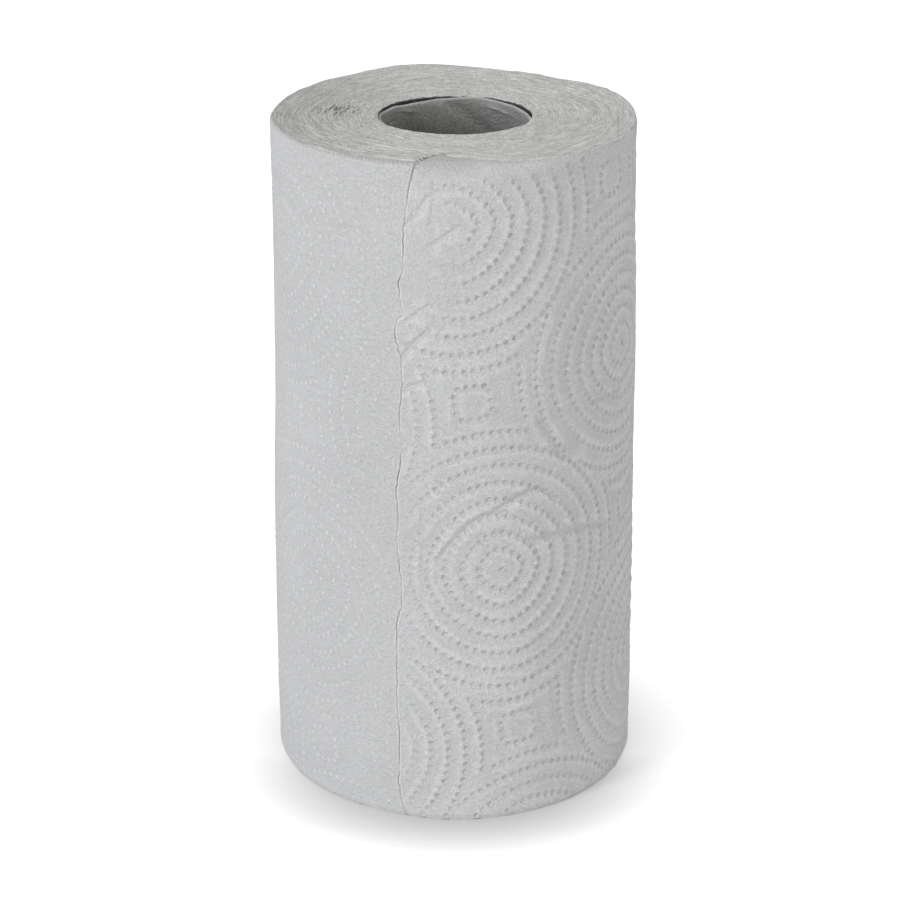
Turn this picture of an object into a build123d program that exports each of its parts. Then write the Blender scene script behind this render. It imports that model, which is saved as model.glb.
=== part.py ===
# A kitchen paper roll, standing on one end.
# The paper is one web, wound as a spiral on a cardboard tube. Its last sheet was torn off along
# a perforation, so the roll ends in an uneven free edge at the front, a little loose from the rest.
# The origin is on the tube's axis, in the plane that the roll stands on, and the front faces -Y.
from build123d import *
from math import atan2, cos, degrees, radians, sin
import os

# Driving dimensions, in millimetres and degrees
roll_diameter = 120.0       # across the last turn, at its free edge
roll_height = 225.0         # width of the paper web
tube_bore = 46.0            # inside diameter of the cardboard tube
tube_wall = 1.0             # thickness of the cardboard
tube_recess = 1.0           # how far the tube's upper end sits inside the paper
tube_fit = 0.2              # clearance between the tube and the paper, front and back
tube_side_gap = 1.5         # the same at the two pinched ends of the hole, left and right
pinch_radius = 6.0          # rounding of the hole's two pinched ends
pinch_turn = -8.0           # how far the pinched hole is turned about the axis

tail_angle = -108.6         # where the free edge reaches furthest left, seen from above
tail_step = 1.2             # what the loose last sheet adds to the radius
lift_gap = 0.4              # width of the gap under the last sheet
lift_length = 14.0          # how far that gap reaches in under the sheet
turn_pitch = 4.4            # radial distance between the turns that show at the ends
turn_depth = 1.0            # depth of the lines between those turns
inner_margin = 1.0          # least paper between the last line and the hole
rim_bevel = 0.5             # how much the cut worn off the outer rims takes

# The torn edge, from bottom to top: how far it lies to the right of tail_angle, measured along
# the surface, and the share of the height where it does
torn_edge = (
    (3.3, 0.00), (1.9, 0.02), (0.7, 0.05), (1.1, 0.13), (0.3, 0.18), (0.2, 0.30), (0.5, 0.32),
    (2.2, 0.34), (1.8, 0.38), (0.3, 0.44), (0.9, 0.48), (0.4, 0.52), (2.2, 0.57), (1.7, 0.63),
    (2.7, 0.68), (2.3, 0.72), (0.5, 0.75), (0.9, 0.775), (3.0, 0.78), (1.5, 0.83), (3.2, 0.845),
    (3.4, 0.91), (4.6, 0.95), (6.0, 0.98), (7.2, 1.00),
)

# What follows from them
roll_radius = roll_diameter / 2
under_tail = roll_radius - tail_step
gap_middle = under_tail + lift_gap / 2
lift_angle = degrees(lift_length / roll_radius)
tube_inside = tube_bore / 2
tube_outside = tube_inside + tube_wall
tube_length = roll_height - tube_recess
hole_half_depth = tube_outside + tube_fit
hole_half_width = tube_outside + tube_side_gap
half_turns = int((under_tail - hole_half_width - inner_margin) / turn_pitch * 2)
on_floor = (Align.CENTER, Align.CENTER, Align.MIN)


def around(radius, angle, centre=(0, 0)):
    """The point at that radius and angle around a centre."""
    return (centre[0] + radius * cos(radians(angle)), centre[1] + radius * sin(radians(angle)))


def spiral_halves(radius, drop, halves):
    """A spiral made of half circles, from the free edge inwards.

    Each half turn's radius is drop / 2 smaller than the one before, and its centre moves by as
    much, so that the halves join without a corner. Gives each one's centre, radius and start.
    """
    centres = ((0, 0), around(drop / 2, tail_angle + 180))
    for half in range(halves):
        yield centres[half % 2], radius - half * drop / 2, tail_angle + 180 * half


# What the tear took away: the strip of the last sheet to the left of the torn edge
tail_plane = Plane(
    origin=around(roll_radius, tail_angle),
    x_dir=around(1, tail_angle + 90),
    z_dir=around(1, tail_angle),
)
with BuildPart() as torn_off:
    with BuildSketch(tail_plane):
        with BuildLine():
            tear = [(right, share * roll_height) for right, share in torn_edge]
            Polyline((0, 0), *tear, (0, roll_height), close=True)
        make_face()
    extrude(amount=2 * tail_step, both=True)
    Cylinder(under_tail, roll_height, align=on_floor, mode=Mode.SUBTRACT)

# The paper: all its turns are one solid
with BuildPart() as paper_roll:
    # The outline is one turn of the spiral, closed by the step under the free edge
    with BuildSketch():
        with BuildLine():
            for centre, radius, start in spiral_halves(roll_radius, tail_step, 2):
                CenterArc(centre, radius, start, 180)
            Line(around(under_tail, tail_angle), around(roll_radius, tail_angle))
        make_face()
    extrude(amount=roll_height)
    rims = paper_roll.edges().filter_by(GeomType.CIRCLE)
    chamfer(rims, rim_bevel)
    add(torn_off.part, mode=Mode.SUBTRACT)

    # The hole for the tube is pinched: two wide arcs, front and back, and two small ones
    small_centre = hole_half_width - pinch_radius
    wide_radius = small_centre**2 + hole_half_depth**2 - pinch_radius**2
    wide_radius /= 2 * (hole_half_depth - pinch_radius)
    wide_centre = wide_radius - hole_half_depth
    small_half_angle = degrees(atan2(wide_centre, small_centre))
    with BuildSketch(Plane.XY.rotated((0, 0, pinch_turn))):
        with BuildLine():
            for side in (0, 180):
                small = around(small_centre, side)
                wide = around(wide_centre, side - 90)
                CenterArc(small, pinch_radius, side - small_half_angle, 2 * small_half_angle)
                CenterArc(wide, wide_radius, side + small_half_angle, 180 - 2 * small_half_angle)
        make_face()
    extrude(amount=roll_height, mode=Mode.SUBTRACT)

    # The gap under the free edge runs the full height
    with BuildSketch():
        with BuildLine():
            for radius in (under_tail, under_tail + lift_gap):
                CenterArc((0, 0), radius, tail_angle, lift_angle)
            for angle in (tail_angle, tail_angle + lift_angle):
                Line(around(under_tail, angle), around(under_tail + lift_gap, angle))
        make_face()
    extrude(amount=roll_height, mode=Mode.SUBTRACT)

    # At both ends the same gap goes on between the turns as a shallow spiral line
    for level in (0, roll_height - turn_depth):
        with BuildSketch(Plane.XY.offset(level)):
            with BuildLine():
                halves = list(spiral_halves(gap_middle, turn_pitch, half_turns))
                for centre, radius, start in halves:
                    CenterArc(centre, radius - lift_gap / 2, start, 180)
                    CenterArc(centre, radius + lift_gap / 2, start, 180)
                centre, radius, start = halves[-1]
                for spot, middle, angle in (((0, 0), gap_middle, tail_angle), (centre, radius, start + 180)):
                    inner = around(middle - lift_gap / 2, angle, spot)
                    Line(inner, around(middle + lift_gap / 2, angle, spot))
            make_face()
        extrude(amount=turn_depth, mode=Mode.SUBTRACT)

# The cardboard tube stands on the same surface as the paper, and ends a little lower
with BuildPart() as core:
    with BuildSketch():
        Circle(tube_outside)
        Circle(tube_inside, mode=Mode.SUBTRACT)
    extrude(amount=tube_length)

# Write one file for each piece
os.makedirs("parts", exist_ok=True)
paper_roll.part.label = "paper_roll"
core.part.label = "core"
export_step(paper_roll.part, "parts/paper_roll.step")
export_step(core.part, "parts/core.step")
print("half turns shown at each end:", half_turns)
print("paper volume, cubic centimetres:", round(paper_roll.part.volume / 1000, 1))
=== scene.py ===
# %% [markdown]
# # A kitchen paper roll
# The real roll is one long web of soft, embossed paper, wound on a cardboard tube. The packed
# CAD model holds its sizes. This lesson dresses it: the paper's last two sheets, the wound paper
# under them with its two ends, and the tube. Everything stays in the frame of the CAD model, in
# metres, with the tube's axis on Z and the front of the roll towards -Y.

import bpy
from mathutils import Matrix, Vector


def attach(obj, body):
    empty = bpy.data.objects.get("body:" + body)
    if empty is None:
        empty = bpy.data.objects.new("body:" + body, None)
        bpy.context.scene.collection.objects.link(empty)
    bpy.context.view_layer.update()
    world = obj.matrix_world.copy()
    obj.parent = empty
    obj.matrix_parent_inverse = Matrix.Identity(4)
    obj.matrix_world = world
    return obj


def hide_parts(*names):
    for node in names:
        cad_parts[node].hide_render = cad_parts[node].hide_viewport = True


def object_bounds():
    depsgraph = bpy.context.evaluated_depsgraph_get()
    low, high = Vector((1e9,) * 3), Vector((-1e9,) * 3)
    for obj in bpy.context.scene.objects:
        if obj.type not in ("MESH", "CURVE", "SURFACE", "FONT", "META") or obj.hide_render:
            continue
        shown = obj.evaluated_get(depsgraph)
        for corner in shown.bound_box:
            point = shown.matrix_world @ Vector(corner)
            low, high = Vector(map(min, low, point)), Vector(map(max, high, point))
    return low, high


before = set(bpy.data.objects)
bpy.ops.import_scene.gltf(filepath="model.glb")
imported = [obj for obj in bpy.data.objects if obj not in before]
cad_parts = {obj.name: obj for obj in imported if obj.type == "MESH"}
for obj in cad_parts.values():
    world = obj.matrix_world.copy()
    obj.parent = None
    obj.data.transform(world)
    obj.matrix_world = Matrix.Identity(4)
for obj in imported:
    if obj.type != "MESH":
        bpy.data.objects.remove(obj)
cad_low, cad_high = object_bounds()
print("CAD nodes:", sorted(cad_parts))
print("CAD box in mm:", [round(1000 * size) for size in cad_high - cad_low])

# %% Libraries and units
from math import atan2, hypot, pi, radians

import bpy
import numpy as np
from mathutils import Vector
from mathutils.geometry import delaunay_2d_cdt
from mathutils.kdtree import KDTree

MM = 0.001      # the shapes are worked out in millimetres, and Blender's unit is the metre

# %% [markdown]
# ## The camera
# A product photograph like this is taken from well back with a long lens, a little above the
# object. The pitch and height are set so that the top shows as a flat ellipse. The lens has no
# shift, because the other views turn the same camera round the object.

# %% Camera
camera_back = 0.840         # metres in front of the roll's axis
camera_height = 0.445       # metres above the floor
camera_side = -0.0015       # metres to the right of the axis
camera_pitch = 21.85        # degrees below level
camera_lens = 106.8         # millimetres, on Blender's usual sensor

camera = bpy.data.objects.new("camera", bpy.data.cameras.new("camera"))
camera.location = (camera_side, -camera_back, camera_height)
camera.rotation_euler = (radians(90 - camera_pitch), 0, 0)
camera.data.lens = camera_lens
bpy.context.scene.collection.objects.link(camera)
bpy.context.scene.camera = camera
print("camera looks down by", camera_pitch, "degrees through a", camera_lens, "mm lens")

# %% [markdown]
# ## Writing shaders as sums
# A shader is a graph of nodes, and long graphs are hard to read as code. The class below wraps
# one output socket, so that `0.2 + 0.5 * grain` adds the Math nodes by itself. Everything that
# isn't arithmetic comes from one method of the material: a kind of node, its settings, and what
# goes into its sockets.

# %% A socket that can be calculated with
class Wire:
    """One output socket of a node. Sums and products with it add Math nodes."""

    def __init__(self, socket):
        self.socket = socket
        self.tree = socket.id_data

    def calculate(self, operation, *values):
        node = self.tree.nodes.new("ShaderNodeMath")
        node.operation = operation
        for place, value in zip(node.inputs, values):
            plug(place, value)
        return Wire(node.outputs[0])

    def __add__(self, other):
        return self.calculate("ADD", self, other)

    def __sub__(self, other):
        return self.calculate("SUBTRACT", self, other)

    def __rsub__(self, other):
        return self.calculate("SUBTRACT", other, self)

    def __mul__(self, other):
        return self.calculate("MULTIPLY", self, other)

    def __truediv__(self, other):
        return self.calculate("DIVIDE", self, other)

    def __rtruediv__(self, other):
        return self.calculate("DIVIDE", other, self)

    def __pow__(self, other):
        return self.calculate("POWER", self, other)

    def __rpow__(self, other):
        return self.calculate("POWER", other, self)

    def at_least(self, other):
        """The larger of the two."""
        return self.calculate("MAXIMUM", self, other)

    __radd__ = __add__
    __rmul__ = __mul__


def plug(place, value):
    """Puts a number or colour into an input socket, or links a wire to it."""
    if isinstance(value, Wire):
        value.tree.links.new(value.socket, place)
    else:
        place.default_value = value


# %% A material that is built one node at a time
class Finish:
    """The node tree of one material, or of the world."""

    def __init__(self, owner):
        owner.use_nodes = True
        self.owner = owner
        self.tree = owner.node_tree
        self.tree.nodes.clear()

    def node(self, kind, settings=None, sockets=None, take=0):
        """Adds a node and gives the wire from its output `take`, a name or a place in the row."""
        node = self.tree.nodes.new(kind)
        for name, value in (settings or {}).items():
            setattr(node, name, value)
        for name, value in (sockets or {}).items():
            plug(node.inputs[name], value)
        return Wire(node.outputs[take]) if node.outputs else None

    def noise(self, place, scale, detail=2.0, roughness=0.5):
        """Smooth noise from about 0.2 to 0.8; scale is how many patches fit in a metre."""
        sockets = {"Vector": place, "Scale": scale, "Detail": detail, "Roughness": roughness}
        return self.node("ShaderNodeTexNoise", {}, sockets)

    def seen_directly(self):
        """1 for what the camera sees, also in a mirror or through glass, and 0 for other light."""
        camera_ray, mirror_ray, glass_ray = (
            self.node("ShaderNodeLightPath", take=f"Is {kind} Ray")
            for kind in ("Camera", "Glossy", "Transmission")
        )
        return camera_ray.at_least(mirror_ray).at_least(glass_ray)

    def part(self, axis, vector):
        """The X, Y or Z of a vector."""
        return self.node("ShaderNodeSeparateXYZ", {}, {"Vector": vector}, axis)

    def share(self, value, start, end):
        """From 0 to 1 while the value goes from start to end."""
        sockets = {"Value": value, "From Min": start, "From Max": end}
        return self.node("ShaderNodeMapRange", {}, sockets)

    def blend(self, amount, first, second):
        """Mixes two colours."""
        settings = {"data_type": "RGBA"}
        return self.node("ShaderNodeMix", settings, {0: amount, 6: first, 7: second}, take=2)

    def surface(self, colour, roughness, height, depth, **constants):
        """Ends the tree with a Principled shader whose bump is `depth` metres deep."""
        bump = self.node("ShaderNodeBump", {}, {"Height": height, "Distance": depth}, "Normal")
        sockets = {"Base Color": colour, "Roughness": roughness, "Normal": bump}
        sockets.update({name.replace("_", " "): value for name, value in constants.items()})
        shader = self.node("ShaderNodeBsdfPrincipled", {}, sockets)
        self.node("ShaderNodeOutputMaterial", {}, {"Surface": shader})
        return self.owner


# %% Greys
def grey(level, red=0.0, blue=0.0):
    """A near-neutral colour, with a touch more or less red and blue."""
    return (level + red, level, level + blue, 1.0)


print("a slightly bluish grey:", grey(0.60, -0.006, 0.012))

# %% [markdown]
# ## Light, floor and background
# The photograph was made in soft light from all round, with a large lamp at the left front and a
# weaker one at the right, and its background is white. The world gives about half of the light.
# The two lamps give it the direction that makes the embossing readable. They stand low, so that
# every small hollow gets a dark and a bright side. The floor is white paper: for the camera it
# glows a little, so that it is as white as the background. The glow is dimmed where the roll
# stands near, less beside it than in front of it, and that is the soft shadow round the foot.

# %% World
ambient_level = 0.49

world = bpy.data.worlds.new("studio")
bpy.context.scene.world = world
studio = Finish(world)
seen = studio.seen_directly()
backdrop = studio.node("ShaderNodeBackground", {}, {
    "Color": grey(1.0),
    "Strength": ambient_level + (1.0 - ambient_level) * seen,
})
studio.node("ShaderNodeOutputWorld", {}, {"Surface": backdrop})
bpy.context.scene.view_settings.view_transform = "Standard"
print("light from all round:", ambient_level)

# %% Lamps
lamp_distance = 4.0
lit_point = Vector((0, 0, 0.11))    # the middle of the roll
lamps = (   # azimuth and elevation in degrees seen from the roll, size, power, colour
    (-142.0, 35.0, 1.00, 68.0, (1.0, 1.0, 1.0)),
    (-40.0, 25.0, 1.40, 21.6, (1.0, 0.975, 0.92)),
)

for azimuth, elevation, size, power, colour in lamps:
    turn, rise = radians(azimuth), radians(elevation)
    towards = Vector((np.cos(turn) * np.cos(rise), np.sin(turn) * np.cos(rise), np.sin(rise)))
    lamp = bpy.data.objects.new("lamp", bpy.data.lights.new("lamp", "AREA"))
    lamp.data.shape = "DISK"
    lamp.data.size = size
    lamp.data.energy = power
    lamp.data.color = colour
    lamp.location = lit_point + lamp_distance * towards
    lamp.rotation_euler = towards.to_track_quat("Z", "Y").to_euler()
    bpy.context.scene.collection.objects.link(lamp)
    print("lamp at", [round(metres, 2) for metres in lamp.location])


# %% Floor
floor_half = 6.0
floor_glow = 0.80
shadow_reach = 0.033        # how far from the roll the floor's glow is dimmed
side_dimming = 0.8          # how strongly it is dimmed beside the roll
front_dimming = 2.4         # and how much more strongly in front of it

floor_mesh = bpy.data.meshes.new("floor")
corners = [(x * floor_half, y * floor_half, 0) for x, y in ((-1, -1), (1, -1), (1, 1), (-1, 1))]
floor_mesh.from_pydata(corners, [], [(0, 1, 2, 3)])
floor = bpy.data.objects.new("floor", floor_mesh)
bpy.context.scene.collection.objects.link(floor)

white_paper = Finish(bpy.data.materials.new("white_floor"))
seen = white_paper.seen_directly()
matt_colour = white_paper.blend(seen, grey(0.93), grey(0.50))
matt = white_paper.node("ShaderNodeBsdfDiffuse", {}, {"Color": matt_colour})
place = white_paper.node("ShaderNodeTexCoord", take="Object")
in_front = white_paper.share(white_paper.part("Y", place), -0.015, -0.066)
reach = {"Distance": shadow_reach}
openness = white_paper.node("ShaderNodeAmbientOcclusion", {"samples": 8}, reach, "AO")
dimmed = openness ** (side_dimming + front_dimming * in_front)
glow_colour = white_paper.blend(seen * dimmed, grey(0.0), grey(1.0))
glow = white_paper.node("ShaderNodeEmission", {}, {"Color": glow_colour, "Strength": floor_glow})
both = white_paper.node("ShaderNodeAddShader", {}, {0: matt, 1: glow})
white_paper.node("ShaderNodeOutputMaterial", {}, {"Surface": both})
floor_mesh.materials.append(white_paper.owner)
print("the floor's glow is dimmed up to", shadow_reach / MM, "mm from the roll")

# %% [markdown]
# ## The winding
# Seen from above, the outside of the roll is a spiral. The free edge of the web, its tail, lies
# at the front a little left of the middle. From there the radius stays the same for half a turn
# and then falls smoothly, so that the web passes under its own tail. A place on the web is given
# by how far along it lies from the tail and by how high it is, both in millimetres. Its radius
# and height are those of the CAD model's box.

# %% Sizes of the roll
roll_radius = float(round(cad_high.x / MM))
roll_height = round(cad_high.z / MM, 1)
tail_angle = -108.6         # where the tail is in degrees, seen from above
tail_step = 1.2             # how much lower the web is when it passes under the tail
paper_thickness = 0.5       # of the two-ply paper with its embossing
turn_length = 2 * pi * roll_radius
print("the roll is", roll_height, "mm high, and one turn is", round(turn_length, 1), "mm long")

# %% Radius of the winding
def ease(x):
    """From 0 to 1 as x does, smoothly, and level outside that range."""
    x = np.clip(x, 0.0, 1.0)
    return x * x * (3.0 - 2.0 * x)


def winding_radius(along):
    """Radius of the outside of the web, that far along it from the tail."""
    turned = np.clip(along / roll_radius, pi, 2 * pi)
    return roll_radius - tail_step / 2 * (1 + np.cos(turned))


print("radius at the tail and under it:", winding_radius(0.0), winding_radius(turn_length))

# %% [markdown]
# ## Seeded unevenness
# Paper is never quite even. The first function below lays one random number on each crossing of
# a grid and eases between them. The seed is fixed, so every run gives the same roll. The second
# one bends such a grid round the axis, where it has to meet itself again after one turn.

# %% Unevenness
grid_rows = 512             # more than any use of the grid needs


def unevenness(across, up, seed, around=256):
    """Smooth values from -1 to 1 over a grid of unit cells, repeating after `around` cells."""
    table = np.random.default_rng(seed).uniform(-1, 1, (around, grid_rows))
    column, row = np.floor(across).astype(int), np.floor(up).astype(int)
    right, above = ease(across - column), ease(up - row)
    low = table[column % around, row % grid_rows] * (1 - right)
    low = low + table[(column + 1) % around, row % grid_rows] * right
    high = table[column % around, (row + 1) % grid_rows] * (1 - right)
    high = high + table[(column + 1) % around, (row + 1) % grid_rows] * right
    return low * (1 - above) + high * above


def uneven_round(azimuth, cells, up, seed):
    """The same with so many cells round the axis."""
    return unevenness(azimuth / (2 * pi) * cells, up, seed, cells)


print("two uneven values:", uneven_round(np.array([0.5, 0.7]), 20, np.zeros(2), 51).round(3))

# %% [markdown]
# ## Out of round
# A roll that was squeezed in its pack and then stood on end is no true cylinder. Each bulge below
# pushes the side out, or in, over part of the way round, and comes in between two heights. The
# layers have slipped a little too, so the upper rim rises and falls on its way round. A few wide
# smooth bumps are easier to set than a sculpted mesh, and every piece can follow them.

# %% Bulges and lifts
bulges = (  # how far out, azimuth and half width in degrees, height of no bulge, of the whole bulge
    (2.4, 128.0, 75.0, 110.0, 225.0),
    (2.0, 180.0, 65.0, 190.0, 80.0),
    (-1.3, 0.0, 60.0, 140.0, 215.0),
    (1.0, 0.0, 60.0, 175.0, 65.0),
    (0.9, -90.0, 60.0, 120.0, 0.0),
)
rim_lifts = (   # how far up, azimuth and half width in degrees
    (0.8, 120.0, 60.0), (1.4, 104.0, 26.0), (0.7, 78.0, 34.0), (1.1, 22.0, 30.0), (-0.8, 170.0, 24.0),
)


def bump(azimuth, middle, half_width):
    """1 at the middle and 0 from half_width away on, both in degrees of azimuth."""
    gap = (np.degrees(azimuth) - middle + 180) % 360 - 180
    return 1 - ease(np.abs(gap) / half_width)


def out_of_round(azimuth, height):
    """How far the side bulges there, because the roll was squeezed and set down on end."""
    bulge = 0.35 * uneven_round(azimuth, 20, height / 50, 51)
    for far, middle, half_width, start, end in bulges:
        grown = ease((height - start) / (end - start))
        bulge = bulge + far * bump(azimuth, middle, half_width) * grown
    return bulge


def rim_lift(azimuth):
    """How much higher than usual the upper rim is: the layers have slipped a little."""
    slipped = 0.25 * uneven_round(azimuth, 40, 0 * azimuth, 52)
    for lift, middle, half_width in rim_lifts:
        slipped = slipped + lift * bump(azimuth, middle, half_width)
    return slipped


once_round = np.radians(np.arange(-180.0, 180.0))
lifts = rim_lift(once_round)
print("the upper rim lies between", lifts.min().round(2), "and", lifts.max().round(2), "mm from level")


# %% [markdown]
# ## The rims
# Most of the roll's upper rim is crisp. At the front, right of the tail, the rim was crushed:
# there the last sheet leans inwards over the end of the roll, in a rounded slope that is widest
# near the tail and runs out towards the right. Two numbers describe it at each place along the
# web, how far the slope reaches in and how far it drops. The sheet's own upper edge sinks into
# the layers under it, so that no gap shows where it ends. The roll's foot is rounded a little.

# %% Rim shape
crush = (   # along the web from the tail, how far the slope reaches in, how far it drops
    (0.0, 1.1, 1.0), (4.8, 1.6, 1.4), (6.5, 3.4, 2.2), (8.8, 8.0, 3.4), (11.7, 11.7, 4.4),
    (16.4, 14.4, 5.2), (21.3, 14.8, 5.5), (25.8, 13.0, 5.5), (30.0, 9.5, 5.0), (36.2, 5.5, 4.2),
    (44.6, 3.6, 3.0), (53.0, 2.2, 1.9), (66.0, 1.1, 1.0),
)
crush_places, crush_reaches, crush_drops = zip(*crush)
foot_round = 0.5            # rounding of the rim that stands on the floor
sink_depth = 0.35           # how far the upper edge sinks in everywhere,
crushed_sink = 0.75         # how much more where the rim is crushed,
covered_sink = 0.6          # and where the web has passed under its own tail


def past_tail(along):
    """The place along the web, counted anew from the tail after one turn."""
    return np.where(along < turn_length, along, along - turn_length)


def covered(along):
    """1 where the web has passed under its own tail, and 0 before that."""
    return ease((along - turn_length - 1) / 3)


def rim(along):
    """How far the upper rim's slope reaches in and drops, at that place along the web."""
    return (
        np.interp(past_tail(along), crush_places, crush_reaches) * (1 - 0.25 * covered(along)),
        np.interp(past_tail(along), crush_places, crush_drops),
    )


def buried(along):
    """How far the sheet's inner edge sinks into the wound layers: the crushed rim has no step."""
    crushed = ease((past_tail(along) - 15) / 5) * (1 - ease((past_tail(along) - 52) / 14))
    return sink_depth + crushed_sink * crushed + covered_sink * covered(along)


print("the crushed rim reaches in by up to", max(crush_reaches), "mm")

# %% From the flat web to the roll
lift_height = 30.0          # the upper rim's rise and fall dies out so far down the side
sink_angle = radians(60)    # from this lean on the sheet's edge sinks into the layers


def on_roll(along, height, out=0.0):
    """Points in metres: that far along the web, up it, and out from its surface."""
    reach, drop = rim(along)
    angle = radians(tail_angle) + along / roll_radius
    lean = np.clip((height - roll_height + drop) / drop, 0, 1) * pi / 2
    foot = np.clip((foot_round - height) / foot_round, 0, 1) * pi / 2
    outward, upward = drop * np.cos(lean), reach * np.sin(lean)
    length = np.hypot(outward, upward)
    radius = winding_radius(along) + out_of_round(angle, height)
    radius = radius - reach * (1 - np.cos(lean)) + out * outward / length
    level = np.minimum(height, roll_height - drop) + drop * np.sin(lean) + out * upward / length
    radius = radius - foot_round * (1 - np.cos(foot))
    level = np.where(height < foot_round, foot_round * (1 - np.sin(foot)), level)
    level = level + rim_lift(angle) * ease((height - roll_height + lift_height) / lift_height)
    level = level - buried(along) * ease((lean - sink_angle) / (pi / 2 - sink_angle))
    return np.stack([radius * np.cos(angle), radius * np.sin(angle), level], axis=-1) * MM


print("the foot of the tail, in metres:", on_roll(0.0, 0.0).round(4))

# %% [markdown]
# ## The embossing
# Kitchen paper is embossed between rollers, so that its plies hold together and it takes up
# water. Here small round dots stand in rows that run in rings about many centres. The centres
# form a square pattern, turned a little. Rings near a centre are pointed like a diamond, wider
# ones are round, and a small square of dots fills each place where four patterns meet. Each dot
# belongs to the centre that it is nearest to.

# %% Centres of the rings
first_centre = (19.0, 205.3)    # along the web and up it
step_down = (67.5, -49.0)       # from one centre to the next, down and to the right
step_up = (52.0, 66.0)          # and up and to the right
pattern_steps = range(-8, 12)   # enough of both steps to cover the whole web
pattern_margin = 60.0           # rings whose centre lies so far outside still reach the web
rings_about_centre = 8
ring_spacing = (5.5, 5.7)       # how much wider and higher each ring is than the one inside it
ring_start = (2.2, 1.8)         # what the first ring has besides one spacing
ring_turn = radians(7.5)
dot_spacing = 2.95
dot_gap = 2.35                  # two dots nearer than this would run together


def ring_centres(reach_along):
    """The centres whose rings touch that length of web."""
    found = []
    for down in pattern_steps:
        for up in pattern_steps:
            along = first_centre[0] + down * step_down[0] + up * step_up[0]
            height = first_centre[1] + down * step_down[1] + up * step_up[1]
            near_along = -pattern_margin < along < reach_along + pattern_margin
            if near_along and -pattern_margin < height < roll_height + pattern_margin:
                found.append((along, height))
    return np.array(found)


def ring_of_dots(half_width, half_height, power):
    """Dots at even steps round a ring: power 1 is a diamond, 2 an ellipse and 4 nearly a box."""
    turns = np.linspace(0, 2 * pi, 361)     # a point for each degree
    cosine, sine = np.cos(turns), np.sin(turns)
    x = half_width * np.sign(cosine) * np.abs(cosine) ** (2 / power)
    y = half_height * np.sign(sine) * np.abs(sine) ** (2 / power)
    walked = np.concatenate([[0], np.cumsum(np.hypot(np.diff(x), np.diff(y)))])
    count = max(4, round(walked[-1] / dot_spacing))
    stops = np.arange(count) * walked[-1] / count
    x, y = np.interp(stops, walked, x), np.interp(stops, walked, y)
    return np.stack([
        x * np.cos(ring_turn) - y * np.sin(ring_turn),
        x * np.sin(ring_turn) + y * np.cos(ring_turn),
    ], axis=-1)


print("dots on a ring of 20 by 20 mm:", len(ring_of_dots(10.0, 10.0, 2.0)))

# %% Dots of the whole web
square_half = (5.8, 5.6)        # half the width and height of the small squares between four patterns
square_shift = (-1.6, 0.0)      # how far they lie from the middle between the four


def all_dots(reach_along):
    """Every dot's place on that length of web."""
    centres = ring_centres(reach_along)
    groups = []
    for centre in centres:
        own = [np.zeros((1, 2))]
        for number in range(1, rings_about_centre + 1):
            half_width = ring_start[0] + number * ring_spacing[0]
            half_height = ring_start[1] + number * ring_spacing[1]
            power = min(2.0, 1.3 + 0.1 * number)
            own.append(ring_of_dots(half_width, half_height, power))
        own = np.concatenate(own) + centre
        distances = np.hypot(*(own[:, None] - centres[None]).transpose(2, 0, 1))
        groups.append(own[np.hypot(*(own - centre).T) <= distances.min(axis=1) + 0.01])
    square = np.array(square_shift) + ring_of_dots(*square_half, 4.0)
    groups += [centre + np.add(step_down, np.negative(step_up)) / 2 + square for centre in centres]
    groups += [centre + np.add(step_down, step_up) / 2 + square for centre in centres]
    return np.concatenate(groups)


def spaced(points, gap):
    """The points with those left out that come too near to one before them."""
    tree = KDTree(len(points))
    for number, point in enumerate(points):
        tree.insert((*point, 0), number)
    tree.balance()
    kept = np.ones(len(points), bool)
    for number, point in enumerate(points):
        if kept[number]:
            for _, other, _ in tree.find_range((*point, 0), gap):
                if other > number:
                    kept[other] = False
    return points[kept]


web_length = turn_length + 22.0     # what the sheets show: one turn and what is under the tail
dots = spaced(all_dots(web_length), dot_gap)
print("dots on the web:", len(dots))

# %% [markdown]
# ## Creases
# The smooth shape of a sheet is a sum of small heights over the flat web, and the creases are
# the first of them. Handling has left them beside the tear and right of it. Each is given as a
# line of points, because a line is easy to place, and the paper sinks along it with a
# rounded V. A shallow dent lies beside one of them.

# %% Creases
creases = (     # depth, half width, and the points: right of the front's middle, and height
    (0.60, 1.8, ((-5.5, 94), (-0.7, 100.3), (2.8, 104.1), (6.3, 107.4), (8.9, 109.0),
                 (12.2, 109.8), (16.5, 110.1))),
    (0.75, 1.7, ((13.0, 111.0), (17.5, 113.1), (20.8, 114.7), (24.0, 116.0), (27.2, 116.5),
                 (30.9, 114.4), (34.8, 110.7))),
    (0.70, 2.6, ((27, 98.5), (36.6, 98.8), (43.0, 98.6), (52, 97), (58.9, 95.5))),
    (0.60, 2.4, ((36.9, 124.5), (34.4, 129.8), (31.3, 134.9), (28, 139))),
    (0.45, 1.8, ((50, 141), (58, 140.5), (66, 140.5))),
    (0.35, 1.3, ((-6.5, 219), (-7, 213), (-7.5, 206))),
    (0.60, 1.3, ((-7, 199.5), (-3, 202.5), (1.5, 205.5))),
    (0.65, 1.3, ((-17, 204), (-13, 208), (-8.5, 214.5))),
    (0.60, 1.3, ((-17, 173), (-12, 177), (-8, 180))),
    (0.60, 1.3, ((-17, 162), (-13.5, 167), (-8, 172))),
    (0.50, 1.3, ((-18, 150), (-14, 153), (-9, 155))),
    (0.22, 1.3, ((-10.5, 112), (-11, 98), (-10.5, 78))),
)
hollow_place = (41.5, 129.0)    # a shallow dent, given as the creases' points are
hollow_width = 7.0
hollow_depth = 1.0
front_along = radians(-90 - tail_angle) * roll_radius   # where the front's middle is on the web


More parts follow.
